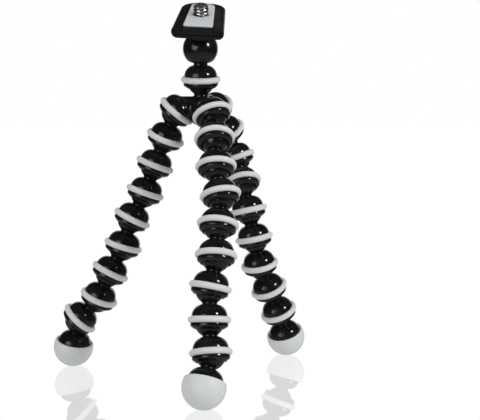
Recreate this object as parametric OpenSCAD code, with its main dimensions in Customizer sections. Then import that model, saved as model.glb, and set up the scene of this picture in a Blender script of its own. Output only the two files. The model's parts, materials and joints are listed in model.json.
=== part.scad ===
// Flexible leg tripod: three legs of snap-together ball links with rubber grip rings, a three-armed hub,
// a tilting head and a quick-release clip with a camera screw. Millimetres, +Z up, the feet stand on z = 0.

/* [Ball joints] */
// Diameter of every joint ball
ball_d = 11.4; // [10:0.2:14]
// Running clearance between a ball and its cup
joint_gap = 0.1; // [0.06:0.01:0.2]
// Wall of a cup under its rubber ring
cup_wall = 1.05; // [0.8:0.05:1.4]
// Wall of a cup at its crown
crown_wall = 1.1; // [0.8:0.05:1.5]
// Diameter of the neck between two links
neck_d = 5.8; // [5:0.1:6.2]
// Free length of the neck between one link's dome and its ball
neck_len = 0.6; // [0.4:0.1:2]
// Extra length of this neck on the link that carries the head
neck_link_rise = 1.2; // [0:0.1:3]
// Hollow where a neck runs into its ball
neck_fillet = 0.8; // [0.4:0.1:1]
// How far a cup's lip reaches past the middle of the ball
lip_reach = 2.6; // [2.4:0.1:3]
// How far the cup still holds the ball past its middle
throat_reach = 1.8; // [1.5:0.1:2.2]
// Widening of the mouth from the throat to the lip's edge
mouth_flare = 0.2; // [0.1:0.05:0.4]
// How far the lip stands out past the seat of the ring
lip_step = 0.4; // [0.2:0.05:0.8]
// Height of the lip's slanted underside
lip_slant = 1.1; // [0.5:0.1:1.5]
// Flat edge round the mouth
lip_edge = 0.1; // [0.05:0.05:0.3]

/* [Grip rings and feet] */
// Height of a rubber ring
ring_h = 2.6; // [2.2:0.1:3.2]
// How far a ring stands out from its seat
ring_t = 1.35; // [1.2:0.05:2]
// Height of a ring's middle above the middle of the ball in its cup
ring_lift = 1; // [0.6:0.1:1.4]
// Thin glue gap between the rubber pieces and the plastic
bond_gap = 0.05; // [0.02:0.01:0.1]
// Diameter of a rubber foot
foot_d = 16.8; // [15.6:0.1:20]
// Wall of a rubber foot
foot_wall = 1.2; // [0.8:0.1:2]
// Height of the foot's upper rim above its middle
foot_rim = 2; // [1:0.1:2.6]

/* [Stance] */
// Height of the hips over the feet as a share of the straight length of a leg
stance = 0.9; // [0.86:0.005:0.95]
// Turn of the hub about the vertical, so that one arm points this far right of the front
hub_turn = 28; // [0:1:60]
// Forward tilt of the hub
hub_tilt = 7; // [0:1:12]
// Forward tilt of the neck link on the hub
neck_tilt = 9; // [0:1:15]
// Forward tilt of the head on the neck link
head_tilt = 16; // [0:1:18]
// Sideways tilt of the head, down on the right
head_roll = 2; // [-6:1:6]
// Turn of the head on the neck link, its rear to the right
head_turn = 3; // [-15:1:15]

/* [Hub] */
// Length of an arm from the middle of the top ball to the middle of a hip ball
arm_len = 17; // [16:0.5:20]
// Angle of an arm from straight down
arm_tilt = 40; // [36:1:44]
// Diameter of the rounded middle of the hub
core_d = 13; // [11:0.5:14]
// Diameter of the ridge that joins an arm to the middle
ridge_d = 10; // [9:0.5:12]
// Free length of the neck under the top ball
hub_neck_len = 1.2; // [1:0.1:3]
// How far the ridges lie below the top of the middle
ridge_sink = 0.6; // [0.2:0.1:1.6]
// Clearance of the middle above the rings
ring_clear = 0.2; // [0.1:0.05:0.5]

/* [Head] */
// Wall of the round housing about its ball
housing_wall = 1.5; // [1.2:0.1:2.5]
// How far the housing reaches below the middle of its ball
housing_reach = 4.2; // [4:0.1:4.5]
// Height of the flared mouth at the housing's lower edge
housing_mouth_h = 0.9; // [0.5:0.1:1.2]
// Height of the receiver's floor above the housing
stalk_h = 2.2; // [1:0.1:4]
// Width of the stalk that carries the receiver
stalk_w = 10; // [8:0.5:12]
// How far this stalk runs back from the middle of the ball
stalk_l = 13; // [10:0.5:16]
// How far this stalk reaches down into the housing
stalk_sink = 2.2; // [1:0.1:4]
// Width of the receiver at its front
receiver_w = 20.8; // [19:0.2:26]
// Length of the receiver
receiver_l = 32; // [28:0.5:45]
// Distance from the middle of the ball to the receiver's front edge
receiver_front = 14.2; // [10:0.1:18]
// Angle by which each side of the receiver runs in towards the rear
side_taper = 2.5; // [0:0.1:4]
// Radius of the receiver's rear corners
receiver_round = 6.5; // [4:0.5:8]
// Rounding of the receiver's upper long edges
edge_round = 1.2; // [0.6:0.1:1.4]
// Rounding of the receiver's lower long edges
belly_round = 2.4; // [1:0.1:2.5]
// Thickness of the receiver's floor
floor_t = 1.2; // [1:0.1:2.5]
// Side wall of the receiver
side_wall = 1.3; // [1:0.1:2]
// Thickness of the overhanging lips that hold the clip
hook_t = 1.1; // [0.8:0.1:2]
// How far each of these lips reaches in past its side wall
hook_in = 2.8; // [2:0.1:3.2]
// Radius of the rear corners of the opening between these lips
throat_round = 3.1; // [2:0.1:4]

/* [Lock knob] */
// Diameter of the lock knob
knob_d = 10; // [8:0.5:11]
// Thickness of the lock knob
knob_t = 4; // [3:0.5:6]
// Diameter of the knob's stem
stem_d = 3; // [2.5:0.1:3.5]
// Diameter of the boss that the stem turns in
boss_d = 6.4; // [5.5:0.1:7.5]
// Number of finger grooves round the knob
knob_grooves = 12; // [8:1:16]
// Diameter of a finger groove
groove_d = 1.4; // [1:0.1:1.6]
// Clearance of the turning and sliding pieces
slide_gap = 0.15; // [0.1:0.01:0.25]

/* [Clip and camera screw] */
// Thickness of the clip's flange
flange_t = 1.5; // [1.2:0.1:2]
// How far the clip's platform stands above the receiver's lips
platform_lift = 0.3; // [0.2:0.1:2]
// Thickness of the rubber pad
pad_t = 0.7; // [0.5:0.1:2]
// Margin from the platform's edge to the pad
pad_margin = 0.2; // [0.1:0.1:0.6]
// Thread diameter of the camera screw
screw_d = 6.35; // [6:0.05:9.6]
// Length of the screw above the pad
screw_len = 4.2; // [3.8:0.1:8]
// Diameter of the plain shank that keeps the screw in the clip
shank_d = 5; // [4:0.1:5.8]
// Diameter of the screw's head
screw_head_d = 10.2; // [9.8:0.1:11]
// Thickness of the screw's head
screw_head_t = 1.3; // [1:0.1:1.6]
// Width of the coin slot in the screw's head
coin_slot_w = 1.2; // [0.8:0.1:1.6]
// Depth of the coin slot
coin_slot_h = 0.6; // [0.4:0.1:0.8]

/* [Hidden] */
$fn = 72;
black = [0.07, 0.07, 0.08];
charcoal = [0.13, 0.13, 0.14];
rubber = [0.8, 0.82, 0.84];
steel = [0.7, 0.71, 0.73];

LEGS = ["left", "front", "right"];
links = 8;

// Cup and ring, measured from the middle of the ball in the cup, with the link's own ball above
ball_r = ball_d / 2;
neck_r = neck_d / 2;
cup_r = ball_r + joint_gap;
seat_r = cup_r + cup_wall;
lip_r = seat_r + lip_step;
ring_top = ring_lift + ring_h / 2;
ring_bottom = ring_lift - ring_h / 2;
throat_r = sqrt(cup_r ^ 2 - throat_reach ^ 2);
mouth_r = throat_r + mouth_flare;
ring_r = seat_r + bond_gap + ring_t;
ring_edge = ring_h / 2 - bond_gap;

// The dome rises straight from the ring's seat and rounds off to a flat crown
dome_r = cup_r + crown_wall - ring_top;
crown_r = seat_r - dome_r;
dome_at_neck = ring_top + sqrt(dome_r ^ 2 - (neck_r - crown_r) ^ 2);
pitch = dome_at_neck + neck_len + sqrt(ball_r ^ 2 - neck_r ^ 2);
foot_r = foot_d / 2;
foot_core_r = foot_r - foot_wall;

// Heading of each leg from the front towards the right, and each link's lean outwards and sideways veer
leg_turn = [-87, -2, 92];
leg_lean = [
    [22, 22, 20, 28, 18, 28, 24, 44, 12],
    [38, 28, 26, 28, 24, 16, 16, 22, 32],
    [28, 20, 12, 12, 12, 12, 22, 22, 16]
];
leg_veer = [
    [-10, 0, 2, 2, 2, 4, -4, -2, -6],
    [6, 4, 10, -4, -2, -10, 0, 4, -10],
    [26, -4, -32, -6, -2, 10, 14, 14, 16]
];
steps = links + 1;

arm_turn = [for (leg = [0:2]) hub_turn + 120 * (leg - 1)];
function heading(turn, lean, veer) = [
    cos(turn) * sin(veer) + sin(turn) * cos(veer) * sin(lean),
    sin(turn) * sin(veer) - cos(turn) * cos(veer) * sin(lean),
    -cos(veer) * cos(lean)
];

// Middles of the hip balls, measured from the middle of the hub's top ball
function tilt_with_hub(v) = [
    v.x,
    v.y * cos(hub_tilt) - v.z * sin(hub_tilt),
    v.y * sin(hub_tilt) + v.z * cos(hub_tilt)
];
hips = [for (leg = [0:2]) tilt_with_hub(arm_len * heading(arm_turn[leg], arm_tilt, 0))];

// All links of a leg lean a little more or less, so that its foot comes down to the floor
mean_drop = stance * steps * pitch + arm_len * cos(arm_tilt);
least_spread = -15;
most_spread = 30;
halvings = 40;
function leg_drop(leg, spread, i = 0) =
    i == steps ? 0
    : pitch * cos(leg_veer[leg][i]) * cos(leg_lean[leg][i] + spread) + leg_drop(leg, spread, i + 1);
function find_spread(leg, low, high, n) =
    let (mid = (low + high) / 2)
    n == 0 ? mid
    : leg_drop(leg, mid) > mean_drop + hips[leg].z ? find_spread(leg, mid, high, n - 1)
    : find_spread(leg, low, mid, n - 1);
spreads = [for (leg = [0:2]) find_spread(leg, least_spread, most_spread, halvings)];

function lean(leg, i) = leg_lean[leg][i] + spreads[leg];
function from_hub(leg, i) =
    i == 0 ? hips[leg]
    : from_hub(leg, i - 1) + pitch * heading(leg_turn[leg], lean(leg, i - 1), leg_veer[leg][i - 1]);

// The left, right and front feet reach farthest out, and the origin lies midway between them on the floor
feet = [for (leg = [0:2]) from_hub(leg, steps)];
hub_pos = [
    -(feet[0].x + feet[2].x) / 2,
    -(feet[1].y + feet[2].y) / 2,
    foot_r - feet[0].z
];
function joint_pos(leg, i) = hub_pos + from_hub(leg, i);

// Hub, measured from the middle of its top ball
core_r = core_d / 2;
ridge_r = ridge_d / 2;
core_drop = sqrt(ball_r ^ 2 - neck_r ^ 2) + hub_neck_len + sqrt(core_r ^ 2 - neck_r ^ 2);
ridge_drop = core_drop - core_r + ridge_sink + ridge_r;
dome_out = (arm_len - ring_top) * sin(arm_tilt);
cut_r = arm_len + dome_r;

// Head, measured from the middle of the ball in its housing
head_pos = hub_pos + (pitch + neck_link_rise) * [0, -sin(neck_tilt), cos(neck_tilt)];
housing_r = cup_r + housing_wall;
housing_throat = housing_reach - housing_mouth_h;
housing_mouth_r = sqrt(cup_r ^ 2 - housing_throat ^ 2);
floor_z = housing_r + stalk_h;
slot_z = floor_z + floor_t;
slot_h = flange_t + 2 * slide_gap;
hook_z = slot_z + slot_h;
receiver_top = hook_z + hook_t;
receiver_h = receiver_top - floor_z;
slot_w = receiver_w - 2 * side_wall;
throat_w = slot_w - 2 * hook_in;
clip_z = slot_z + slide_gap;
clip_l = receiver_l - side_wall - slide_gap;
platform_z = receiver_top + platform_lift;
pad_z = platform_z + pad_t;
screw_r = screw_d / 2;
screw_head_r = screw_head_d / 2;
screw_head_z = clip_z + slide_gap;
thread_z = pad_z + slide_gap;
thread_len = screw_len - slide_gap;
boss_y = stalk_l + slide_gap;
knob_y = boss_y + slide_gap;

// Rounded edges and hollows run this deep into the surfaces that they blend with
blend_depth = 0.01;

module half_plane() {
    intersection() {
        children();
        translate([0, -2 * cut_r]) square([2 * cut_r, 4 * cut_r]);
    }
}

// Ball on its neck, drawn in half section above a dome that meets the neck at the height foot_z
module stem_section(ball_z, foot_z) {
    fillet_r = neck_r + neck_fillet;
    fillet_h = sqrt((ball_r + neck_fillet - blend_depth) ^ 2 - fillet_r ^ 2);
    translate([0, ball_z]) circle(ball_r);
    translate([0, foot_z - neck_fillet]) square([neck_r, ball_z - foot_z]);
    difference() {
        polygon([[0, ball_z - fillet_h], [fillet_r, ball_z - fillet_h], [0, ball_z]]);
        translate([fillet_r, ball_z - fillet_h]) circle(neck_fillet);
    }
}

// Bun that a dome is the upper half of, with its widest part level with the top of the ring
module bun_section(base_r) {
    translate([base_r - dome_r, ring_top]) circle(dome_r);
    translate([0, ring_top - dome_r]) square([base_r - dome_r, 2 * dome_r]);
}

module dome_section() {
    intersection() {
        bun_section(seat_r);
        translate([0, ring_top]) square([seat_r, dome_r]);
    }
}

// Ring seat and slanted lip of a cup
module rim_section() {
    polygon([
        [0, -lip_reach],
        [mouth_r + lip_edge, -lip_reach],
        [lip_r, lip_slant - lip_reach],
        [lip_r, ring_bottom],
        [seat_r, ring_bottom],
        [seat_r, ring_top],
        [0, ring_top]
    ]);
}

// Hollow of a cup: a sphere that closes on the ball below its middle, then a flared mouth
module socket_section() {
    flare_run = throat_reach * mouth_flare / (lip_reach - throat_reach);
    circle(cup_r);
    polygon([[0, -lip_reach], [mouth_r, -lip_reach], [throat_r - flare_run, 0], [0, 0]]);
}

module link_shape(rise = 0) {
    rotate_extrude() half_plane() difference() {
        union() {
            stem_section(pitch + rise, dome_at_neck);
            dome_section();
            rim_section();
        }
        socket_section();
    }
}

module ring_shape() {
    bore = seat_r + bond_gap;
    rotate_extrude() difference() {
        union() {
            translate([0, ring_lift - ring_edge]) square([ring_r - ring_edge, 2 * ring_edge]);
            translate([ring_r - ring_edge, ring_lift]) circle(ring_edge);
        }
        translate([-bore, ring_lift - ring_h]) square([2 * bore, 2 * ring_h]);
    }
}

module foot_core() {
    rotate_extrude() half_plane() {
        stem_section(pitch, dome_at_neck);
        bun_section(sqrt(foot_core_r ^ 2 - ring_top ^ 2));
        circle(foot_core_r);
    }
}

module foot_boot() {
    inner = foot_core_r + bond_gap;
    outer_at_rim = sqrt(foot_r ^ 2 - foot_rim ^ 2);
    inner_at_rim = sqrt(inner ^ 2 - foot_rim ^ 2);
    rim_mid = (outer_at_rim + inner_at_rim) / 2;
    rim_round = (outer_at_rim - inner_at_rim) / 2 + blend_depth;
    rotate_extrude() half_plane() {
        difference() {
            circle(foot_r);
            circle(inner);
            translate([0, foot_rim]) square(foot_r);
        }
        translate([rim_mid, foot_rim]) circle(rim_round);
    }
}

module at_link(leg, i) {
    translate(joint_pos(leg, i))
    rotate([0, 0, leg_turn[leg]])
    rotate([-lean(leg, i - 1), 0, 0])
    rotate([0, -leg_veer[leg][i - 1], 0])
    children();
}

module leg_link(leg, i) {
    color(black) at_link(leg, i) link_shape();
}

module leg_ring(leg, i) {
    color(rubber) at_link(leg, i) ring_shape();
}

module foot(leg) {
    at_link(leg, steps) {
        color(black) foot_core();
        color(rubber) foot_boot();
    }
}

module at_hub() {
    translate(hub_pos) rotate([hub_tilt, 0, 0]) children();
}

module at_arm(leg) {
    rotate([0, 0, arm_turn[leg]])
    rotate([-arm_tilt, 0, 0])
    translate([0, 0, -arm_len])
    children();
}

// The middle of the hub with its ridges, kept clear of the rings
module hub_middle() {
    difference() {
        union() {
            rotate_extrude() half_plane() {
                stem_section(0, -core_drop);
                translate([0, -core_drop]) circle(core_r);
            }
            for (leg = [0:2])
                rotate([0, 0, arm_turn[leg]])
                translate([0, 0, -ridge_drop])
                rotate([90, 0, 0])
                cylinder(r = ridge_r, h = dome_out);
        }
        for (leg = [0:2])
            at_arm(leg)
            translate([0, 0, ring_top + ring_clear - 2 * cut_r])
            cylinder(r = cut_r, h = 2 * cut_r);
    }
}

module hub() {
    color(black) at_hub() difference() {
        union() {
            hub_middle();
            for (leg = [0:2])
                at_arm(leg) rotate_extrude() half_plane() {
                    dome_section();
                    rim_section();
                }
        }
        for (leg = [0:2])
            at_arm(leg) rotate_extrude() half_plane() socket_section();
    }
}

module hub_rings() {
    color(rubber) at_hub() for (leg = [0:2]) at_arm(leg) ring_shape();
}

module at_neck() {
    translate(hub_pos) rotate([neck_tilt, 0, 0]) children();
}

module neck_link() {
    color(black) at_neck() link_shape(neck_link_rise);
}

module neck_ring() {
    color(rubber) at_neck() ring_shape();
}

module at_head() {
    translate(head_pos)
    rotate([neck_tilt + head_tilt, 0, 0])
    rotate([0, head_roll, 0])
    rotate([0, 0, -head_turn])
    children();
}

// Outline with a square front and round rear corners, from the front edge at y = 0, sides running in
module tray_outline(w, l, r) {
    corner_x = w / 2 - (r + (l - r) * sin(side_taper)) / cos(side_taper);
    side_x = corner_x + r * cos(side_taper);
    side_y = l - r + r * sin(side_taper);
    polygon([
        [-w / 2, 0],
        [w / 2, 0],
        [side_x, side_y],
        [corner_x, l],
        [-corner_x, l],
        [-side_x, side_y]
    ]);
    for (side = [-1, 1]) translate([side * corner_x, l - r]) circle(r);
}

// Long bar with its outer side on x = 0 and that side's two edges rounded
module round_side(w, h, l) {
    rotate([90, 0, 180]) translate([0, 0, -l]) linear_extrude(3 * l) {
        translate([0, belly_round]) square([w, h - belly_round - edge_round]);
        translate([belly_round, 0]) square([w, 2 * belly_round]);
        translate([edge_round, h - 2 * edge_round]) square([w, 2 * edge_round]);
        translate([belly_round, belly_round]) circle(belly_round);
        translate([edge_round, h - edge_round]) circle(edge_round);
    }
}

module at_front(z) {
    translate([0, -receiver_front, z]) children();
}

module receiver_block() {
    intersection() {
        linear_extrude(receiver_h) tray_outline(receiver_w, receiver_l, receiver_round);
        translate([receiver_w / 2, 0, 0])
            rotate(side_taper)
            round_side(2 * receiver_w, receiver_h, receiver_l);
        mirror([1, 0, 0])
            translate([receiver_w / 2, 0, 0])
            rotate(side_taper)
            round_side(2 * receiver_w, receiver_h, receiver_l);
    }
}

module housing_hollow() {
    flare_run = housing_throat * mouth_flare / housing_mouth_h;
    sphere(cup_r);
    rotate_extrude() polygon([
        [0, -housing_reach],
        [housing_mouth_r + mouth_flare, -housing_reach],
        [housing_mouth_r - flare_run, 0],
        [0, 0]
    ]);
    translate([0, 0, -housing_reach - housing_r]) cylinder(r = housing_r, h = housing_r);
    rotate([-90, 0, 0]) cylinder(d = stem_d + 2 * slide_gap, h = boss_y + slide_gap);
}

module head_receiver() {
    color(charcoal) at_head() difference() {
        union() {
            sphere(housing_r);
            rotate([-90, 0, 0]) cylinder(d = boss_d, h = boss_y);
            translate([0, 0, housing_r - stalk_sink])
                linear_extrude(stalk_sink + stalk_h + floor_t / 2) {
                    circle(d = stalk_w);
                    translate([-stalk_w / 2, 0]) square([stalk_w, stalk_l]);
                }
            at_front(floor_z) receiver_block();
        }
        housing_hollow();
        at_front(slot_z) translate([0, -slide_gap, 0])
            linear_extrude(slot_h)
            tray_outline(slot_w, receiver_l - side_wall + slide_gap, receiver_round - side_wall);
        at_front(slot_z) translate([0, -slide_gap, 0])
            linear_extrude(receiver_h)
            tray_outline(throat_w, receiver_l - side_wall - hook_in + slide_gap, throat_round);
    }
}

module lock_knob() {
    stem_start = cup_r + slide_gap;
    color(charcoal) at_head() rotate([-90, 0, 0]) {
        difference() {
            translate([0, 0, knob_y]) cylinder(d = knob_d, h = knob_t);
            for (i = [1:knob_grooves])
                rotate(i * 360 / knob_grooves)
                translate([knob_d / 2, 0, knob_y - slide_gap])
                cylinder(d = groove_d, h = knob_t + 2 * slide_gap);
        }
        translate([0, 0, stem_start]) cylinder(d = stem_d, h = knob_y + knob_t / 2 - stem_start);
    }
}

module clip_plate() {
    flange_w = slot_w - 2 * slide_gap;
    platform_w = throat_w - 2 * slide_gap;
    color(charcoal) at_head() difference() {
        union() {
            at_front(clip_z)
                linear_extrude(flange_t)
                tray_outline(flange_w, clip_l, receiver_round - side_wall - slide_gap);
            at_front(clip_z)
                linear_extrude(platform_z - clip_z)
                tray_outline(platform_w, clip_l - hook_in, throat_round - slide_gap);
        }
        translate([0, 0, clip_z - slide_gap]) cylinder(r = screw_r + slide_gap, h = platform_z);
        translate([0, 0, clip_z - slide_gap])
            cylinder(r = screw_head_r + slide_gap, h = screw_head_t + 3 * slide_gap);
    }
}

module clip_pad() {
    pad_in = slide_gap + pad_margin;
    color(rubber) at_head() difference() {
        at_front(platform_z) translate([0, pad_margin, 0])
            linear_extrude(pad_t)
            tray_outline(throat_w - 2 * pad_in, clip_l - hook_in - 2 * pad_margin, throat_round - pad_in);
        translate([0, 0, platform_z - slide_gap])
            cylinder(r = screw_r + slide_gap, h = pad_t + 2 * slide_gap);
    }
}

module camera_screw() {
    color(steel) at_head() difference() {
        union() {
            translate([0, 0, screw_head_z]) cylinder(r = screw_head_r, h = screw_head_t);
            translate([0, 0, screw_head_z])
                cylinder(d = shank_d, h = thread_z + thread_len / 2 - screw_head_z);
            translate([0, 0, thread_z]) cylinder(r = screw_r, h = thread_len);
        }
        translate([-screw_head_d, -coin_slot_w / 2, screw_head_z - coin_slot_h])
            cube([2 * screw_head_d, coin_slot_w, 2 * coin_slot_h]);
    }
}

for (leg = [0:2], i = [1:links]) {
    leg_link(leg, i);
    leg_ring(leg, i);
}
for (leg = [0:2]) {
    foot(leg);
}
hub();
hub_rings();
neck_link();
neck_ring();
head_receiver();
lock_knob();
clip_plate();
clip_pad();
camera_screw();
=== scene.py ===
import json
import math

import bmesh
import bpy
from mathutils import Matrix, Vector


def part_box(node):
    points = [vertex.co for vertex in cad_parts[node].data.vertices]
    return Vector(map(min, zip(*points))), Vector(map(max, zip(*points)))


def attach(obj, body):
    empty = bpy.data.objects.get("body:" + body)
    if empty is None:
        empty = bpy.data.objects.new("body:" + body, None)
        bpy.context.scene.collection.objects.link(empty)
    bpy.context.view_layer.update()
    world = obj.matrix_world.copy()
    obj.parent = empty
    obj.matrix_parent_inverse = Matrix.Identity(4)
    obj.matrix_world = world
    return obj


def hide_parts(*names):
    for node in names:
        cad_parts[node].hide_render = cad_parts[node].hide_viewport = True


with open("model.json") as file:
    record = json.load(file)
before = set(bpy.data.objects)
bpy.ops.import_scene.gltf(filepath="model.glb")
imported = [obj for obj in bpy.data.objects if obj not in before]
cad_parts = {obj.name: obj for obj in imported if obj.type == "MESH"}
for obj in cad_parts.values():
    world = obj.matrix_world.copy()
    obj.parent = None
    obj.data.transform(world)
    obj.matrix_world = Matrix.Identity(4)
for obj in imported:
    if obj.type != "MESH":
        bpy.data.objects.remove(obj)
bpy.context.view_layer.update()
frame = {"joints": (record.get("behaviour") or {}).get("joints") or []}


# Ball links of the three legs, eight in each. A link is one glossy black moulding: a ball on a short
# neck, a dome, and below it a snap cup that grips the next link's ball. It is drawn in half section
# in millimetres, with the cup's middle at the origin, and turned round Z.
mm = 0.001
legs = ("left", "front", "right")
link_count = 8
pivots = {joint["child"]: Vector(joint["pos_m"]) for joint in frame["joints"] if "pos_m" in joint}
leg_pivots = {
    leg: [pivots[f"{leg}_{i}"] for i in range(1, link_count + 1)] + [pivots[f"{leg}_foot"]]
    for leg in legs
}
pitch = (leg_pivots["left"][1] - leg_pivots["left"][0]).length / mm
ball_r = 5.7
neck_r = 2.9
neck_fillet = 0.7
shoulder_fillet = 0.2
cup_r = 5.8
seat_r = 6.85
ring_top = 2.3
ring_bottom = -0.3
dome_r = 4.6
lip_r = 7.25
lip_slant_z = -1.5
lip_z = -2.6
throat_z = -1.8
throat_r = math.sqrt(cup_r ** 2 - throat_z ** 2)
mouth_flare = 0.2
mouth_r = throat_r + mouth_flare
rim_flat = 0.1
edge_round = 0.15
slant_round = 0.4
rim_round = 0.04
ball_steps = 26
fillet_steps = 6
shoulder_steps = 5
dome_steps = 14
bowl_steps = 18
link_sides = 64
weld = 1e-4
crease = 32.0
link_turn = 2.4


def line_to(section, tip, x, z):
    end = bmesh.ops.extrude_vert_indiv(section, verts=[tip])["verts"][0]
    end.co = (x, 0.0, z)
    return end


def arc_to(section, tip, x, z, degrees, steps):
    swept = bmesh.ops.spin(
        section, geom=[tip], cent=(x, 0, z), axis=(0, 1, 0), angle=math.radians(degrees), steps=steps
    )
    return [v for v in swept["geom_last"] if isinstance(v, bmesh.types.BMVert)][0]


def round_corner(section, corner, radius, steps):
    bmesh.ops.bevel(
        section, geom=[corner], affect="VERTICES", offset=radius, segments=steps, profile=0.5, material=-1
    )


def turn_section(section, sides):
    bmesh.ops.spin(
        section,
        geom=section.verts[:] + section.edges[:],
        cent=(0, 0, 0),
        axis=(0, 0, 1),
        angle=2 * math.pi,
        steps=sides,
        use_merge=True,
    )
    bmesh.ops.remove_doubles(section, verts=section.verts, dist=weld)
    bmesh.ops.recalc_face_normals(section, faces=section.faces)


def draw_stem(section, ball_z):
    lean = math.asin((neck_r + neck_fillet) / (ball_r + neck_fillet))
    fillet_z = ball_z - (ball_r + neck_fillet) * math.cos(lean)
    tip = section.verts.new((0, 0, ball_z + ball_r))
    tip = arc_to(section, tip, 0, ball_z, 180 - math.degrees(lean), ball_steps)
    return arc_to(section, tip, neck_r + neck_fillet, fillet_z, math.degrees(lean) - 90, fillet_steps)


def draw_dome(section, tip, base_r):
    crown_r = base_r - dome_r
    lean = math.asin((neck_r + shoulder_fillet - crown_r) / (dome_r + shoulder_fillet))
    fillet_z = ring_top + (dome_r + shoulder_fillet) * math.cos(lean)
    tip = line_to(section, tip, neck_r, fillet_z)
    shoulder_r = neck_r + shoulder_fillet
    tip = arc_to(section, tip, shoulder_r, fillet_z, math.degrees(lean) - 90, shoulder_steps)
    return arc_to(section, tip, crown_r, ring_top, 90 - math.degrees(lean), dome_steps)


def draw_rim(section, tip):
    seat = line_to(section, tip, seat_r, ring_bottom)
    edge = line_to(section, seat, lip_r, ring_bottom)
    slant = line_to(section, edge, lip_r, lip_slant_z)
    rim = line_to(section, slant, mouth_r + rim_flat, lip_z)
    mouth = line_to(section, rim, mouth_r, lip_z)
    throat = line_to(section, mouth, throat_r, throat_z)
    arc_to(section, throat, 0, 0, -90 - math.degrees(math.asin(-throat_z / cup_r)), bowl_steps)
    round_corner(section, edge, edge_round, 3)
    round_corner(section, slant, slant_round, 4)
    round_corner(section, rim, rim_round, 2)


def ball_link(ball_z):
    section = bmesh.new()
    draw_rim(section, draw_dome(section, draw_stem(section, ball_z), seat_r))
    turn_section(section, link_sides)
    return section


def standing(foot, top, turn=0.0):
    upright = (top - foot).to_track_quat("Z", "Y").to_matrix().to_4x4()
    return Matrix.Translation(foot) @ upright @ Matrix.Rotation(turn, 4, "Z") @ Matrix.Scale(mm, 4)


def set_piece(name, shape, place, finish):
    shape.transform(place)
    mesh = bpy.data.meshes.new(name)
    shape.to_mesh(mesh)
    shape.free()
    mesh.polygons.foreach_set("use_smooth", [True] * len(mesh.polygons))
    mesh.set_sharp_from_angle(angle=math.radians(crease))
    mesh.materials.append(finish)
    piece = bpy.data.objects.new(name, mesh)
    bpy.context.scene.collection.objects.link(piece)
    return piece


def moulded_skin():
    group = bpy.data.node_groups.new("moulded_skin", "ShaderNodeTree")
    for label, usual in (("Grain Scale", 4000.0), ("Smudge Scale", 140.0), ("Speck Scale", 500.0)):
        socket = group.interface.new_socket(label, in_out="INPUT", socket_type="NodeSocketFloat")
        socket.default_value = usual
    for label in ("Grain", "Smudge", "Specks"):
        group.interface.new_socket(label, in_out="OUTPUT", socket_type="NodeSocketFloat")
    nodes, wires = group.nodes, group.links
    given = nodes.new("NodeGroupInput")
    result = nodes.new("NodeGroupOutput")
    place = nodes.new("ShaderNodeTexCoord")

    grain = nodes.new("ShaderNodeTexNoise")
    grain.inputs["Detail"].default_value = 2.0
    wires.new(place.outputs["Object"], grain.inputs["Vector"])
    wires.new(given.outputs["Grain Scale"], grain.inputs["Scale"])
    wires.new(grain.outputs["Fac"], result.inputs["Grain"])

    cloud = nodes.new("ShaderNodeTexNoise")
    cloud.inputs["Detail"].default_value = 5.0
    cloud.inputs["Distortion"].default_value = 0.8
    wires.new(place.outputs["Object"], cloud.inputs["Vector"])
    wires.new(given.outputs["Smudge Scale"], cloud.inputs["Scale"])
    smudge = nodes.new("ShaderNodeMapRange")
    smudge.interpolation_type = "SMOOTHSTEP"
    smudge.inputs["From Min"].default_value = 0.36
    smudge.inputs["From Max"].default_value = 0.68
    wires.new(cloud.outputs["Fac"], smudge.inputs["Value"])
    wires.new(smudge.outputs["Result"], result.inputs["Smudge"])

    cells = nodes.new("ShaderNodeTexVoronoi")
    wires.new(place.outputs["Object"], cells.inputs["Vector"])
    wires.new(given.outputs["Speck Scale"], cells.inputs["Scale"])
    dot = nodes.new("ShaderNodeMapRange")
    dot.inputs["From Min"].default_value = 0.16
    dot.inputs["From Max"].default_value = 0.06
    wires.new(cells.outputs["Distance"], dot.inputs["Value"])
    pick = nodes.new("ShaderNodeSeparateColor")
    wires.new(cells.outputs["Color"], pick.inputs["Color"])
    few = nodes.new("ShaderNodeMath")
    few.operation = "GREATER_THAN"
    few.inputs[1].default_value = speck_rarity
    wires.new(pick.outputs["Red"], few.inputs[0])
    specks = nodes.new("ShaderNodeMath")
    specks.operation = "MULTIPLY"
    wires.new(dot.outputs["Result"], specks.inputs[0])
    wires.new(few.outputs["Value"], specks.inputs[1])
    wires.new(specks.outputs["Value"], result.inputs["Specks"])
    return group


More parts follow.
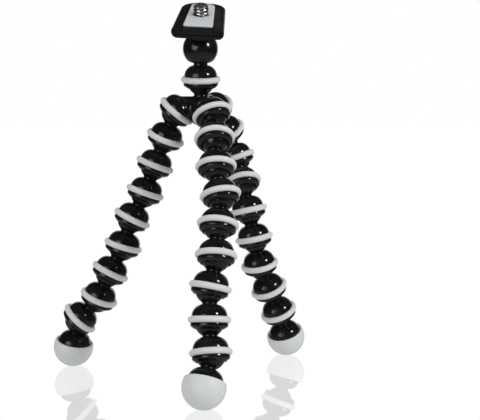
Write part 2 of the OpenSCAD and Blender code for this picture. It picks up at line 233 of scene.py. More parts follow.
def finish_with_skin(name, clean, smudged, speck, speck_share, rough, grain, scales):
    finish = bpy.data.materials.new(name)
    finish.use_nodes = True
    finish.diffuse_color = (*clean, 1)
    nodes, wires = finish.node_tree.nodes, finish.node_tree.links
    shader = nodes["Principled BSDF"]
    skin = nodes.new("ShaderNodeGroup")
    skin.node_tree = skin_group
    for label, value in zip(("Grain Scale", "Smudge Scale", "Speck Scale"), scales):
        skin.inputs[label].default_value = value
    colour = nodes.new("ShaderNodeMix")
    colour.data_type = "RGBA"
    colour.inputs["A"].default_value = (*clean, 1)
    colour.inputs["B"].default_value = (*smudged, 1)
    wires.new(skin.outputs["Smudge"], colour.inputs["Factor"])
    share = nodes.new("ShaderNodeMath")
    share.operation = "MULTIPLY"
    share.inputs[1].default_value = speck_share
    wires.new(skin.outputs["Specks"], share.inputs[0])
    dusted = nodes.new("ShaderNodeMix")
    dusted.data_type = "RGBA"
    dusted.inputs["B"].default_value = (*speck, 1)
    wires.new(colour.outputs["Result"], dusted.inputs["A"])
    wires.new(share.outputs["Value"], dusted.inputs["Factor"])
    wires.new(dusted.outputs["Result"], shader.inputs["Base Color"])
    gloss = nodes.new("ShaderNodeMapRange")
    gloss.inputs["To Min"].default_value = rough[0]
    gloss.inputs["To Max"].default_value = rough[1]
    wires.new(skin.outputs["Smudge"], gloss.inputs["Value"])
    wires.new(gloss.outputs["Result"], shader.inputs["Roughness"])
    relief = nodes.new("ShaderNodeBump")
    relief.inputs["Strength"].default_value = grain[0]
    relief.inputs["Distance"].default_value = grain[1] * mm
    wires.new(skin.outputs["Grain"], relief.inputs["Height"])
    wires.new(relief.outputs["Normal"], shader.inputs["Normal"])
    return finish


speck_rarity = 0.82
skin_group = moulded_skin()
gloss_black = finish_with_skin(
    "gloss_black_plastic",
    clean=(0.0045, 0.0045, 0.0052),
    smudged=(0.010, 0.010, 0.0115),
    speck=(0.08, 0.08, 0.085),
    speck_share=0.12,
    rough=(0.12, 0.18),
    grain=(0.03, 0.04),
    scales=(1800.0, 150.0, 420.0),
)
for leg in legs:
    for i in range(1, link_count + 1):
        place = standing(leg_pivots[leg][i], leg_pivots[leg][i - 1], turn=link_turn * i)
        link = set_piece(f"{leg}_ball_link_{i}", ball_link(pitch), place, gloss_black)
        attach(link, f"{leg}_{i}")
        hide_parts(f"{leg}_link_{i}")


# Grip rings of the legs: pale grey soft rubber with a rounded outer edge, moulded on round each cup
# between the dome and the lip. A small gate pip is left on the upper side of each.
ring_bore = 6.9
ring_mid = 1.0
ring_edge = 1.25
ring_core_r = 7.0
ring_sides = 80
ring_steps = 20
ring_turn = 1.1
pip_r = 0.34
pip_squash = 0.5
pip_lean = math.radians(38)


def grip_ring():
    section = bmesh.new()
    start = section.verts.new((ring_bore, 0, ring_mid + ring_edge))
    tip = line_to(section, start, ring_core_r, ring_mid + ring_edge)
    tip = arc_to(section, tip, ring_core_r, ring_mid, 180, ring_steps)
    tip = line_to(section, tip, ring_bore, ring_mid - ring_edge)
    section.edges.new((tip, start))
    turn_section(section, ring_sides)
    pip = bmesh.ops.create_icosphere(section, subdivisions=2, radius=pip_r)["verts"]
    bmesh.ops.scale(section, vec=(1, 1, pip_squash), verts=pip)
    bmesh.ops.rotate(section, cent=(0, 0, 0), matrix=Matrix.Rotation(pip_lean, 3, "Y"), verts=pip)
    reach = ring_edge * math.sin(pip_lean)
    lift = ring_edge * math.cos(pip_lean)
    bmesh.ops.translate(section, vec=(ring_core_r + reach, 0, ring_mid + lift), verts=pip)
    return section


grip_rubber = finish_with_skin(
    "grip_rubber",
    clean=(0.612, 0.630, 0.640),
    smudged=(0.592, 0.607, 0.617),
    speck=(0.40, 0.40, 0.39),
    speck_share=0.2,
    rough=(0.46, 0.54),
    grain=(0.08, 0.05),
    scales=(2600.0, 210.0, 380.0),
)
for leg in legs:
    for i in range(1, link_count + 1):
        place = standing(leg_pivots[leg][i], leg_pivots[leg][i - 1], turn=ring_turn + link_turn * i)
        ring = set_piece(f"{leg}_grip_ring_{i}", grip_ring(), place, grip_rubber)
        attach(ring, f"{leg}_{i}")
        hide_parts(f"{leg}_ring_{i}")


# Feet: a black core with the last ball, neck and dome, and a pale grey rubber boot pulled over its
# lower half. The boot is a sphere with a thick rounded rim that stands proud of the dome.
foot_r = 8.4
foot_core_r = 7.2
foot_rim_z = 2.0
boot_inner_r = 7.25
core_steps = 20
lining_steps = 16
boot_rim_steps = 10
boot_steps = 26


def foot_core():
    section = bmesh.new()
    base_r = math.sqrt(foot_core_r ** 2 - ring_top ** 2)
    tip = draw_dome(section, draw_stem(section, pitch), base_r)
    below = 180 - math.degrees(math.acos(ring_top / foot_core_r))
    arc_to(section, tip, 0, 0, below, core_steps)
    turn_section(section, link_sides)
    return section


def foot_boot():
    section = bmesh.new()
    outer_x = math.sqrt(foot_r ** 2 - foot_rim_z ** 2)
    inner_x = math.sqrt(boot_inner_r ** 2 - foot_rim_z ** 2)
    outer_turn = 180 - math.degrees(math.acos(foot_rim_z / foot_r))
    inner_turn = 180 - math.degrees(math.acos(foot_rim_z / boot_inner_r))
    start = section.verts.new((0, 0, -boot_inner_r))
    tip = arc_to(section, start, 0, 0, -inner_turn, lining_steps)
    tip = arc_to(section, tip, (outer_x + inner_x) / 2, foot_rim_z, 180, boot_rim_steps)
    arc_to(section, tip, 0, 0, outer_turn, boot_steps)
    turn_section(section, ring_sides)
    return section


for leg in legs:
    ball = leg_pivots[leg][link_count]
    low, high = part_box(f"{leg}_foot")
    middle = (low + high) / 2
    centre = Vector((0, 0, low.z + foot_r * mm))
    for axis in (0, 1):
        centre[axis] = low[axis] + foot_r * mm if ball[axis] > middle[axis] else high[axis] - foot_r * mm
    core = set_piece(f"{leg}_foot_core", foot_core(), standing(centre, ball), gloss_black)
    boot = set_piece(f"{leg}_foot_boot", foot_boot(), standing(centre, ball), grip_rubber)
    for piece, slot in ((core, "black_plastic"), (boot, "grey_rubber")):
        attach(piece, f"{leg}_foot")
        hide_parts(f"{leg}_foot")


# Hub: one glossy black moulding with the neck's ball on top and three arms that run out in smooth
# saddles to domes, each with the same snap cup as a link. The body is blended first, then cupped.
hub_at = pivots["neck"]
hub_neck = 1.2
core_r = 6.5
ridge_r = 5.0
ridge_sink = 0.6
saddle_voxel = 0.22
saddle_passes = 14
dome_skirt = 1.5
stem_len = 5.0
stem_lift = 0.6
stem_root = 1.4
cup_reach = 8.6
cup_run = 14
clearance_gap = 0.3
clearance_lift = 0.05
clearance_sides = 72
bowl_gap = 0.4
bowl_lift = 0.1
hub_up = (3 * hub_at - sum((pivots[f"{leg}_1"] for leg in legs), Vector())).normalized()
hub_upright = hub_up.to_track_quat("Z", "Y").to_matrix().to_4x4()
hub_place = Matrix.Translation(hub_at) @ hub_upright @ Matrix.Scale(mm, 4)
core_drop = (
    math.sqrt(ball_r ** 2 - neck_r ** 2) + hub_neck + math.sqrt(core_r ** 2 - neck_r ** 2)
)
ridge_drop = core_drop - core_r + ridge_sink + ridge_r


def shape_object(shape):
    mesh = bpy.data.meshes.new("blank")
    shape.to_mesh(mesh)
    shape.free()
    blank = bpy.data.objects.new("blank", mesh)
    bpy.context.scene.collection.objects.link(blank)
    return blank


def worked(blank, *tools):
    mesh = bpy.data.meshes.new_from_object(blank.evaluated_get(bpy.context.evaluated_depsgraph_get()))
    shape = bmesh.new()
    shape.from_mesh(mesh)
    bpy.data.meshes.remove(mesh)
    for used in (blank, *tools):
        bpy.data.meshes.remove(used.data)
    return shape


def carve(shape, *steps, edge=0.0):
    blank = shape_object(shape)
    tools = []
    for operation, tool in steps:
        tools.append(shape_object(tool))
        step = blank.modifiers.new(operation, "BOOLEAN")
        step.operation = operation
        step.solver = "EXACT"
        step.object = tools[-1]
    if edge:
        rounded = blank.modifiers.new("edge", "BEVEL")
        rounded.width = edge
        rounded.segments = 2
        rounded.limit_method = "ANGLE"
        rounded.angle_limit = math.radians(40)
    return worked(blank, *tools)


def arm_frame(leg):
    foot = hub_place.inverted() @ pivots[f"{leg}_1"]
    upright = (-foot).to_track_quat("Z", "Y").to_matrix().to_4x4()
    return Matrix.Translation(foot) @ upright


def arm_dome(leg):
    section = bmesh.new()
    tip = section.verts.new((0, 0, ring_top + dome_r))
    tip = line_to(section, tip, seat_r - dome_r, ring_top + dome_r)
    tip = arc_to(section, tip, seat_r - dome_r, ring_top, 90, bowl_steps)
    tip = line_to(section, tip, seat_r, ring_top - dome_skirt)
    line_to(section, tip, 0, ring_top - dome_skirt)
    turn_section(section, link_sides)
    section.transform(arm_frame(leg))
    return section


def add_shape(shape, extra):
    extra_mesh = bpy.data.meshes.new("extra")
    extra.to_mesh(extra_mesh)
    extra.free()
    shape.from_mesh(extra_mesh)
    bpy.data.meshes.remove(extra_mesh)


def hub_blend():
    body = bmesh.new()
    bmesh.ops.create_uvsphere(
        body, u_segments=48, v_segments=24, radius=core_r, matrix=Matrix.Translation((0, 0, -core_drop))
    )
    bmesh.ops.create_cone(
        body, cap_ends=True, segments=48, radius1=neck_r, radius2=neck_r, depth=stem_len,
        matrix=Matrix.Translation((0, 0, -core_drop + core_r - stem_lift)),
    )
    for leg in legs:
        out = arm_frame(leg) @ Vector((0, 0, ring_top))
        reach = math.hypot(out.x, out.y)
        turn = Matrix.Rotation(math.atan2(out.y, out.x), 4, "Z") @ Matrix.Rotation(math.pi / 2, 4, "Y")
        bmesh.ops.create_cone(
            body, cap_ends=True, segments=48, radius1=ridge_r, radius2=ridge_r, depth=reach,
            matrix=Matrix.Translation((out.x / 2, out.y / 2, -ridge_drop)) @ turn,
        )
        add_shape(body, arm_dome(leg))
    blank = shape_object(body)
    joined = blank.modifiers.new("joined", "REMESH")
    joined.mode = "VOXEL"
    joined.voxel_size = saddle_voxel
    body = worked(blank)
    for _ in range(saddle_passes):
        bmesh.ops.smooth_vert(
            body, verts=body.verts, factor=0.5, use_axis_x=True, use_axis_y=True, use_axis_z=True
        )
    return body


def cup_clearance(leg):
    section = bmesh.new()
    bowl_r = cup_r + clearance_gap
    tip = section.verts.new((0, 0, bowl_r))
    end = math.degrees(math.acos((ring_top + clearance_lift) / bowl_r))
    tip = arc_to(section, tip, 0, 0, end, dome_steps)
    tip = line_to(section, tip, cup_reach, ring_top + clearance_lift)
    tip = line_to(section, tip, cup_reach, -cup_run)
    line_to(section, tip, 0, -cup_run)
    turn_section(section, clearance_sides)
    section.transform(arm_frame(leg))
    return section


def arm_cup(leg):
    section = bmesh.new()
    bowl_r = cup_r + bowl_gap
    tip = section.verts.new((0, 0, bowl_r))
    end = math.degrees(math.acos((ring_top + bowl_lift) / bowl_r))
    tip = arc_to(section, tip, 0, 0, end, dome_steps)
    draw_rim(section, line_to(section, tip, seat_r, ring_top + bowl_lift))
    turn_section(section, link_sides)
    section.transform(arm_frame(leg))
    return section


def hub_stem():
    section = bmesh.new()
    tip = draw_stem(section, 0)
    tip = line_to(section, tip, neck_r, -core_drop + core_r - stem_root)
    line_to(section, tip, 0, -core_drop + core_r - stem_root)
    turn_section(section, link_sides)
    return section


hub_shape = carve(hub_blend(), *[("DIFFERENCE", cup_clearance(leg)) for leg in legs])
for extra in [hub_stem()] + [arm_cup(leg) for leg in legs]:
    add_shape(hub_shape, extra)
hub = set_piece("hub_moulding", hub_shape, hub_place, gloss_black)
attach(hub, "hub")
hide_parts("hub")


# Hub rings: three more of the same rubber grip rings, one round the cup at the end of each arm.
# They are moulded on as on the links.
hub_ring_turn = 0.6
for leg in legs:
    place = standing(pivots[f"{leg}_1"], hub_at, turn=hub_ring_turn)
    ring = set_piece(f"hub_grip_ring_{leg}", grip_ring(), place, grip_rubber)
    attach(ring, "hub")
    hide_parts("hub_rings")


# Neck: one more ball link with a slightly longer neck. Its cup grips the hub's ball, its own ball
# carries the head, and it has a rubber grip ring like the others.
neck_place = standing(pivots["neck"], pivots["head"])
neck_rise = (pivots["head"] - pivots["neck"]).length / mm
neck = set_piece("neck_ball_link", ball_link(neck_rise), neck_place, gloss_black)
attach(neck, "neck")
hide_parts("neck_link")
neck_ring_turn = Matrix.Rotation(2.2, 4, "Z")
neck_ring = set_piece("neck_grip_ring", grip_ring(), neck_place @ neck_ring_turn, grip_rubber)
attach(neck_ring, "neck")
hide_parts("neck_ring")


# Head receiver: one black moulding. A glossy hollow ball housing snaps over the neck's ball, and a
# short stalk on it carries a satin tray that narrows to the rear. The tray's sides fold in as hooks
# over the clip, and its rear corners are round.
joint_named = {joint["name"]: joint for joint in frame["joints"]}
head_up = Vector(joint_named["camera_screw_turn"]["axis"]).normalized()
head_back = -Vector(joint_named["clip_slide"]["axis"]).normalized()
head_axes = Matrix((head_back.cross(head_up), head_back, head_up)).transposed().to_4x4()
head_place = Matrix.Translation(pivots["head"]) @ head_axes @ Matrix.Scale(mm, 4)
housing_r = 7.3
housing_z = -4.2
housing_throat_z = -3.3
stalk_w = 10.0
stalk_l = 13.0
stalk_z = 5.1
tray_w = 20.8
tray_l = 32.0
tray_floor_z = 9.5
slot_z = 10.7
hook_z = 12.5
tray_top_z = 13.6
tray_round = 6.5
side_taper = math.radians(2.5)
side_wall = 1.3
hook_in = 2.8
throat_round = 3.1
slide_gap = 0.15
slot_w = tray_w - 2 * side_wall
throat_w = slot_w - 2 * hook_in
front_y = -14.2
overrun = 1.0
near = 0.01
corner_steps = 12
sharp_angle = math.radians(35)
stalk_sink = 0.6
nose_share = 0.498
housing_flare = 0.3
housing_rim_drop = 0.02
housing_cut = 2.0
housing_sides = 72
tray_belly_round = 2.4
tray_lip_round = 1.2
receiver_edge = 0.25
boss_r = 3.2
boss_start_y = 3.0
boss_y = 13.15
boss_bore_r = 1.65
boss_bore_sides = 32
gloss_drop = 0.05


def raise_outline(block, height):
    raised = bmesh.ops.extrude_face_region(block, geom=block.faces[:])["geom"]
    lifted = [v for v in raised if isinstance(v, bmesh.types.BMVert)]
    bmesh.ops.translate(block, vec=(0, 0, height), verts=lifted)
    bmesh.ops.recalc_face_normals(block, faces=block.faces)
    return block


def tray_block(width, start, length, corner, low, high):
    block = bmesh.new()
    bmesh.ops.create_grid(block, x_segments=1, y_segments=1, size=0.5)
    for v in block.verts:
        y = start + (v.co.y + 0.5) * length
        v.co = (v.co.x * (width - 2 * (y - front_y) * math.tan(side_taper)), y, low)
    bmesh.ops.bevel(
        block,
        geom=[v for v in block.verts if v.co.y > start + length / 2],
        affect="VERTICES",
        offset=corner * math.tan(math.pi / 4 - side_taper / 2),
        segments=corner_steps,
        profile=0.5,
        material=-1,
    )
    return raise_outline(block, high - low)


def stalk():
    block = bmesh.new()
    bmesh.ops.create_grid(block, x_segments=1, y_segments=1, size=0.5)
    for v in block.verts:
        v.co = (v.co.x * stalk_w, -stalk_w / 2 + (v.co.y + 0.5) * (stalk_w / 2 + stalk_l), stalk_z)
    nose = [v for v in block.verts if v.co.y < 0]
    bmesh.ops.bevel(
        block,
        geom=nose,
        affect="VERTICES",
        offset=nose_share * stalk_w,
        segments=corner_steps,
        profile=0.5,
        material=-1,
    )
    return raise_outline(block, tray_floor_z + stalk_sink - stalk_z)


def soften(shape, offset, steps, chosen):
    bmesh.ops.bevel(
        shape,
        geom=[e for e in shape.edges if chosen(e)],
        affect="EDGES",
        offset=offset,
        segments=steps,
        profile=0.5,
        material=-1,
        clamp_overlap=True,
    )


def sharp_edge(edge):
    return len(edge.link_faces) == 2 and edge.calc_face_angle() > sharp_angle


def turned_ball(radius):
    ball = bmesh.new()
    bmesh.ops.create_uvsphere(ball, u_segments=72, v_segments=48, radius=radius)
    return ball


def rod(radius, start, end, axis, sides=48):
    shape = bmesh.new()
    turn = Matrix.Rotation(-math.pi / 2, 4, "X") if axis == "Y" else Matrix.Identity(4)
    middle = Vector((0, (start + end) / 2, 0)) if axis == "Y" else Vector((0, 0, (start + end) / 2))
    bmesh.ops.create_cone(
        shape, cap_ends=True, segments=sides, radius1=radius, radius2=radius, depth=end - start,
        matrix=Matrix.Translation(middle) @ turn,
    )
    return shape


def housing_mouth():
    section = bmesh.new()
    throat = math.sqrt(cup_r ** 2 - housing_throat_z ** 2)
    tip = section.verts.new((0, 0, housing_throat_z + overrun))
    tip = line_to(section, tip, throat - housing_flare, housing_throat_z + overrun)
    tip = line_to(section, tip, throat, housing_throat_z)
    tip = line_to(section, tip, throat + housing_flare, housing_z + housing_rim_drop)
    tip = line_to(section, tip, housing_r + housing_cut, housing_z)
    tip = line_to(section, tip, housing_r + housing_cut, -housing_r - housing_cut)
    line_to(section, tip, 0, -housing_r - housing_cut)
    turn_section(section, housing_sides)
    return section


def long_edge(edge, z):
    level_with = all(abs(v.co.z - z) < near for v in edge.verts)
    return level_with and max(v.co.y for v in edge.verts) > front_y + near


tray = tray_block(tray_w, front_y, tray_l, tray_round, tray_floor_z, tray_top_z)
soften(tray, tray_belly_round, 8, lambda e: long_edge(e, tray_floor_z))
soften(tray, tray_lip_round, 6, lambda e: long_edge(e, tray_top_z))
tray_slot = tray_block(
    slot_w, front_y - overrun, tray_l - side_wall + overrun, tray_round - side_wall, slot_z, hook_z
)
tray_throat = tray_block(
    throat_w, front_y - overrun, tray_l - side_wall - hook_in + overrun, throat_round, slot_z,
    tray_top_z + overrun,
)
receiver_shape = carve(
    turned_ball(housing_r),
    ("UNION", stalk()),
    ("UNION", tray),
    ("UNION", rod(boss_r, boss_start_y, boss_y, "Y")),
    ("DIFFERENCE", turned_ball(cup_r)),
    ("DIFFERENCE", housing_mouth()),
    ("DIFFERENCE", tray_slot),
    ("DIFFERENCE", tray_throat),
    ("DIFFERENCE", rod(boss_bore_r, 0.0, boss_y + overrun, "Y", boss_bore_sides)),
    edge=receiver_edge,
)
for face in receiver_shape.faces:
    face.material_index = 1 if face.calc_center_median().z < tray_floor_z - gloss_drop else 0
satin_black = finish_with_skin(
    "satin_black_plastic",
    clean=(0.0070, 0.0069, 0.0065),
    smudged=(0.0095, 0.0093, 0.0088),
    speck=(0.10, 0.10, 0.10),
    speck_share=0.1,
    rough=(0.34, 0.46),
    grain=(0.25, 0.05),
    scales=(3200.0, 120.0, 380.0),
)
satin_black.node_tree.nodes["Principled BSDF"].inputs["Specular IOR Level"].default_value = 0.2
receiver = set_piece("head_receiver_moulding", receiver_shape, head_place, satin_black)
receiver.data.materials.append(gloss_black)
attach(receiver, "head")
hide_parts("head_receiver")


# Lock knob: satin black thumbscrew behind the housing, with finger grooves round its rim. Its stem
# goes through the boss and bears on the ball.
knob_r = 5.0
knob_y = 13.3
knob_t = 4.0
knob_dish = 0.35
dish_r = 2.6
crest_r = 3.3
stem_r = 1.5
knob_sides = 72
groove_r = 0.7
groove_out = 0.1
groove_sides = 20
grooves = 12


def lock_knob():
    section = bmesh.new()
    tip = section.verts.new((0, 0, knob_y + knob_t - knob_dish))
    dish = line_to(section, tip, dish_r, knob_y + knob_t - knob_dish)
    crest = line_to(section, dish, crest_r, knob_y + knob_t)
    rim = line_to(section, crest, knob_r, knob_y + knob_t)
    back = line_to(section, rim, knob_r, knob_y)
    stem = line_to(section, back, stem_r, knob_y)
    tip = line_to(section, stem, stem_r, cup_r + slide_gap)
    line_to(section, tip, 0, cup_r + slide_gap)
    for corner, radius in ((dish, 0.3), (crest, 0.3), (rim, 0.6), (back, 0.4)):
        round_corner(section, corner, radius, 4)
    turn_section(section, knob_sides)
    cutters = bmesh.new()
    for i in range(grooves):
        round_rim = Matrix.Rotation(i * 2 * math.pi / grooves, 4, "Z")
        spot = round_rim @ Matrix.Translation((knob_r + groove_out, 0, knob_y + knob_t / 2))
        bmesh.ops.create_cone(
            cutters, cap_ends=True, segments=groove_sides, radius1=groove_r, radius2=groove_r,
            depth=knob_t + overrun, matrix=spot,
        )
    return carve(section, ("DIFFERENCE", cutters))


knob_place = head_place @ Matrix.Rotation(-math.pi / 2, 4, "X")
knob = set_piece("lock_knob_moulding", lock_knob(), knob_place, satin_black)
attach(knob, "knob")
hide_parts("lock_knob")


# Quick-release clip: satin black plate that slides into the tray from the front. Its flange runs
# under the hooks, and a narrower platform stands up between them and carries the pad.
clip_z = 10.85
flange_t = 1.5
clip_l = 30.55
platform_z = 13.9
flange_w = slot_w - 2 * slide_gap
platform_w = throat_w - 2 * slide_gap
platform_sink = 0.5
clip_edge = 0.3
screw_head_r = 5.1
screw_head_seat = 1.6
screw_r = 3.175
flange_round = tray_round - side_wall - slide_gap
platform_round = throat_round - slide_gap
flange = tray_block(flange_w, front_y, clip_l, flange_round, clip_z, clip_z + flange_t)
soften(flange, clip_edge, 3, sharp_edge)
platform = tray_block(
    platform_w, front_y, clip_l - hook_in, platform_round, clip_z + platform_sink, platform_z
)
soften(platform, clip_edge, 3, sharp_edge)
clip_shape = carve(
    flange,
    ("UNION", platform),
    ("DIFFERENCE", rod(screw_r + slide_gap, clip_z - overrun, platform_z + overrun, "Z")),
    ("DIFFERENCE", rod(screw_head_r + slide_gap, clip_z - overrun, clip_z + screw_head_seat, "Z")),
)
clip = set_piece("clip_moulding", clip_shape, head_place, satin_black)
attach(clip, "clip")
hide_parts("clip_plate")


# Clip pad: a sheet of pale blue-grey rubber, glued on the platform so that the camera doesn't slip. It
# has a hole for the screw, round corners and softly rounded upper edges.
pad_z = 14.6
pad_margin = 0.2
pad_front = 1.4
pad_corner = 1.0
pad_edge = 0.35
pad_foot = 0.1
pad = tray_block(
    platform_w - 2 * pad_margin,
    front_y + pad_front,
    clip_l - hook_in - pad_margin - pad_front,
    platform_round - pad_margin,
    platform_z,
    pad_z,
)


def front_corner(edge):
    upright = edge.verts[0].co.x == edge.verts[1].co.x
    return upright and max(v.co.y for v in edge.verts) < front_y + pad_front + near


def upper_edge(edge):
    return sharp_edge(edge) and max(v.co.z for v in edge.verts) > platform_z + pad_foot


soften(pad, pad_corner, 5, front_corner)
soften(pad, pad_edge, 3, upper_edge)
pad_hole = rod(screw_r + slide_gap, platform_z - overrun, pad_z + overrun, "Z")
pad_shape = carve(pad, ("DIFFERENCE", pad_hole))
pad_rubber = finish_with_skin(
    "pad_rubber",
    clean=(0.56, 0.58, 0.61),
    smudged=(0.53, 0.55, 0.58),
    speck=(0.40, 0.40, 0.40),
    speck_share=0.2,
    rough=(0.46, 0.54),
    grain=(0.08, 0.05),
    scales=(2600.0, 210.0, 380.0),
)
pad_piece = set_piece("clip_rubber_pad", pad_shape, head_place, pad_rubber)
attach(pad_piece, "clip")
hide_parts("clip_pad")


# Camera screw: plated steel, standard quarter-inch thread with twenty turns to the inch, and painted
# shade on the downward-facing undersides of its turns. Its head with a coin slot lies in the clip's
# underside, and a plain shank keeps it in the clip.
thread_pitch = 1.27
thread_root_r = 2.45
thread_z = 14.1
screw_top_z = 18.8
screw_head_z = 11.0
screw_head_t = 1.3
shank_z = pad_z + 0.1
shank_chamfer = 0.25
point_in = 0.1
point_h = 0.5
small_round = 0.15
head_round = 0.3
slot_l = 24
slot_size = 1.2
turn_steps = 36
thread_end = 0.7
thread_sink = 0.2
chamfer_h = 0.75
chamfer_slope = 0.95
underside = -0.3


def screw_core():
    section = bmesh.new()
    tip = section.verts.new((0, 0, screw_top_z))
    top = line_to(section, tip, thread_root_r - point_in, screw_top_z)
    tip = line_to(section, top, thread_root_r, screw_top_z - point_h)
    tip = line_to(section, tip, thread_root_r, shank_z + shank_chamfer)
    tip = line_to(section, tip, screw_r, shank_z)
    tip = line_to(section, tip, screw_r, screw_head_z + screw_head_t)
    under = line_to(section, tip, screw_head_r, screw_head_z + screw_head_t)
    rim = line_to(section, under, screw_head_r, screw_head_z)
    line_to(section, rim, 0, screw_head_z)
    round_corner(section, top, small_round, 3)
    round_corner(section, under, small_round, 3)
    round_corner(section, rim, head_round, 3)
    turn_section(section, link_sides)
    coin_slot = bmesh.new()
    bmesh.ops.create_cube(coin_slot, size=1.0)
    bmesh.ops.scale(coin_slot, vec=(slot_l, slot_size, slot_size), verts=coin_slot.verts)
    bmesh.ops.translate(coin_slot, vec=(0, 0, screw_head_z), verts=coin_slot.verts)
    return carve(section, ("DIFFERENCE", coin_slot))


def screw_thread():
    ridge = bmesh.new()
    half = thread_pitch / 2
    turns = (screw_top_z - thread_z) / thread_pitch - thread_end
    buried = thread_root_r - thread_sink
    lower_flank = [(buried, -half * 0.95), (thread_root_r, -half * 0.86), (screw_r - 0.04, -0.26)]
    crest = [(screw_r, -0.18), (screw_r - 0.025, 0.0), (screw_r - 0.125, 0.18), (screw_r - 0.325, 0.36)]
    upper_flank = [(thread_root_r, half * 0.86), (buried, half * 0.95)]
    corners = lower_flank + crest + upper_flank
    verts = [ridge.verts.new((x, 0, thread_z + half + z)) for x, z in corners]
    start = ridge.faces.new(verts)
    steps = round(turns * turn_steps)
    bmesh.ops.spin(
        ridge, geom=[start] + start.edges[:] + verts, cent=(0, 0, 0), axis=(0, 0, 1),
        dvec=(0, 0, thread_pitch / turn_steps), angle=steps * 2 * math.pi / turn_steps, steps=steps,
    )
    bmesh.ops.recalc_face_normals(ridge, faces=ridge.faces)
    chamfer_z = screw_top_z - chamfer_h
    for v in ridge.verts:
        limit = screw_r - max(0.0, v.co.z - chamfer_z) * chamfer_slope
        reach = math.hypot(v.co.x, v.co.y)
        if reach > limit:
            v.co.x *= limit / reach
            v.co.y *= limit / reach
    # Painted shade: faces that tilt downward get the near-black steel, which stands in for the shade on
    # the undersides of the turns.
    for face in ridge.faces:
        face.normal_update()
        face.material_index = 1 if face.normal.z < underside else 0
    return ridge


plated_steel = finish_with_skin(
    "plated_steel",
    clean=(0.96, 0.96, 0.97),
    smudged=(0.90, 0.90, 0.91),
    speck=(0.50, 0.49, 0.47),
    speck_share=0.3,
    rough=(0.22, 0.30),
    grain=(0.06, 0.03),
    scales=(2400.0, 380.0, 900.0),
)
# Painted shade: a near-black copy of the plated steel for the undersides of the thread's turns, standing
# in for their shade.
painted_shade_steel = finish_with_skin(
    "painted_shade_steel",
    clean=(0.05, 0.05, 0.052),
    smudged=(0.035, 0.035, 0.036),
    speck=(0.02, 0.02, 0.02),
    speck_share=0.3,
    rough=(0.35, 0.45),
    grain=(0.06, 0.03),
    scales=(2400.0, 380.0, 900.0),
)
for steel in (plated_steel, painted_shade_steel):
    steel.node_tree.nodes["Principled BSDF"].inputs["Metallic"].default_value = 1.0
screw_shape = screw_core()
add_shape(screw_shape, screw_thread())
screw = set_piece("camera_screw_steel", screw_shape, head_place, plated_steel)
# The second slot holds the painted shade steel for the undersides of the thread's turns.
screw.data.materials.append(painted_shade_steel)
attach(screw, "screw")
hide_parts("camera_screw")


# Studio: a polished white floor that runs out to a white horizon. In reflections on the object there is
# a white wall behind, a dim room, a faint floor and a soft glow left of the camera. A small bright
# light stands at the right and shows in reflections, and two wide ones only light the object.
floor_size = 6.0
floor_white = 1.15
floor_polish = 0.4
room_level = 0.54
dim = 0.03
floor_mesh = bpy.data.meshes.new("studio_floor")
floor_shape = bmesh.new()
bmesh.ops.create_grid(floor_shape, x_segments=1, y_segments=1, size=floor_size)
floor_shape.to_mesh(floor_mesh)
floor_shape.free()
floor = bpy.data.objects.new("studio_floor", floor_mesh)
bpy.context.scene.collection.objects.link(floor)
floor.visible_glossy = False
white_floor = bpy.data.materials.new("white_floor")
white_floor.use_nodes = True
floor_nodes, floor_wires = white_floor.node_tree.nodes, white_floor.node_tree.links
floor_nodes.remove(floor_nodes["Principled BSDF"])
white = floor_nodes.new("ShaderNodeEmission")
white.inputs["Strength"].default_value = floor_white
mirror = floor_nodes.new("ShaderNodeBsdfGlossy")
mirror.inputs["Roughness"].default_value = 0.0
sheen = floor_nodes.new("ShaderNodeMixShader")
sheen.inputs["Fac"].default_value = floor_polish
floor_wires.new(white.outputs["Emission"], sheen.inputs[1])
floor_wires.new(mirror.outputs["BSDF"], sheen.inputs[2])
floor_wires.new(sheen.outputs["Shader"], floor_nodes["Material Output"].inputs["Surface"])
floor_mesh.materials.append(white_floor)

studio = bpy.data.worlds.new("white_studio")
studio.use_nodes = True
bpy.context.scene.world = studio
sky_nodes, sky_wires = studio.node_tree.nodes, studio.node_tree.links
sky = sky_nodes["Background"]
sky.inputs["Color"].default_value = (1, 1, 1, 1)
rays = sky_nodes.new("ShaderNodeLightPath")
outlook = sky_nodes.new("ShaderNodeTexCoord")
heading = sky_nodes.new("ShaderNodeSeparateXYZ")
sky_wires.new(outlook.outputs["Generated"], heading.inputs["Vector"])


def toward(x, y, z):
    side = sky_nodes.new("ShaderNodeVectorMath")
    side.operation = "DOT_PRODUCT"
    side.inputs[1].default_value = (x, y, z)
    sky_wires.new(outlook.outputs["Generated"], side.inputs[0])
    return side.outputs["Value"]


def sky_band(value, start, end, low, high):
    band = sky_nodes.new("ShaderNodeMapRange")
    band.interpolation_type = "SMOOTHSTEP"
    for label, number in (("From Min", start), ("From Max", end), ("To Min", low), ("To Max", high)):
        band.inputs[label].default_value = number
    sky_wires.new(value, band.inputs["Value"])
    return band.outputs["Result"]


def sky_math(operation, first, second):
    step = sky_nodes.new("ShaderNodeMath")
    step.operation = operation
    sky_wires.new(first, step.inputs[0])
    sky_wires.new(second, step.inputs[1])
    return step.outputs["Value"]


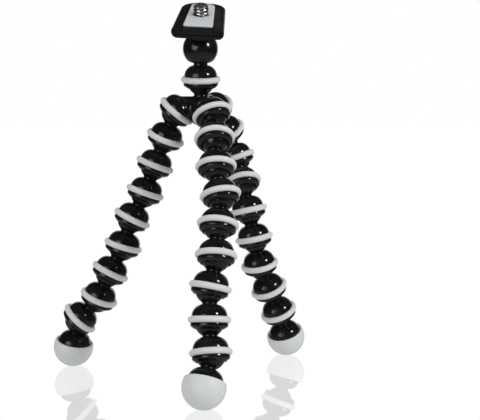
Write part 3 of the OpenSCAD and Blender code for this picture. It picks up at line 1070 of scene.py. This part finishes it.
wall_width = sky_band(heading.outputs["Y"], 0.74, 0.87, dim, 1.0)
wall_height = sky_band(heading.outputs["Z"], 0.36, 0.5, 1.0, 0.05)
wall = sky_math("MULTIPLY", wall_width, wall_height)
left_glow = sky_band(toward(-0.555, -0.825, 0.12), 0.90, 1.0, dim, 2.6)
floor_glow = sky_band(heading.outputs["Z"], -0.1, -0.6, 0.0, 0.3)
level = sky_nodes.new("ShaderNodeMix")
level.inputs["A"].default_value = room_level
sky_wires.new(rays.outputs["Is Glossy Ray"], level.inputs["Factor"])
glows = sky_math("MAXIMUM", sky_math("MAXIMUM", wall, left_glow), floor_glow)
sky_wires.new(glows, level.inputs["B"])
white_rays = sky_math("MAXIMUM", rays.outputs["Is Camera Ray"], rays.outputs["Is Singular Ray"])
seen = sky_math("MAXIMUM", level.outputs["Result"], white_rays)
sky_wires.new(seen, sky.inputs["Strength"])

look_at = Vector((0.0, 0.01, 0.085))
for name, turn, lift, distance, width, height, power in (
    ("left_softbox", -58.0, 10.0, 0.85, 0.60, 0.80, 2.1),
    ("right_softbox", 57.0, 24.0, 0.85, 0.14, 0.20, 3.0),
    ("top_softbox", 10.0, 78.0, 0.9, 0.6, 0.6, 1.2),
):
    lamp = bpy.data.lights.new(name, "AREA")
    lamp.shape = "ELLIPSE"
    lamp.size = width
    lamp.size_y = height
    lamp.energy = power
    flat = math.cos(math.radians(lift)) * distance
    across = flat * math.sin(math.radians(turn))
    toward_camera = flat * math.cos(math.radians(turn))
    stand = bpy.data.objects.new(name, lamp)
    stand.location = look_at + Vector((across, -toward_camera, distance * math.sin(math.radians(lift))))
    stand.rotation_euler = (look_at - stand.location).to_track_quat("-Z", "Y").to_euler()
    stand.visible_glossy = name == "right_softbox"
    bpy.context.scene.collection.objects.link(stand)


# Camera: at the photograph's viewing angle, a little to the right of the hub and looking down slightly.
# The focal length is in pixels of the photograph's width.
focal = 899.0
photo_width = 480
sensor = 36.0
camera_right = 0.0163
camera_back = 0.3771
camera_height = 0.1102
camera_dip = 6.40
lens = bpy.data.cameras.new("camera")
lens.sensor_fit = "HORIZONTAL"
lens.sensor_width = sensor
lens.lens = focal / photo_width * sensor
lens.clip_start = 0.01
camera = bpy.data.objects.new("camera", lens)
camera.location = (hub_at.x + camera_right, hub_at.y - camera_back, camera_height)
camera.rotation_euler = (math.radians(90 - camera_dip), 0, 0)
bpy.context.scene.collection.objects.link(camera)
bpy.context.scene.camera = camera
bpy.context.scene.view_settings.view_transform = "Standard"
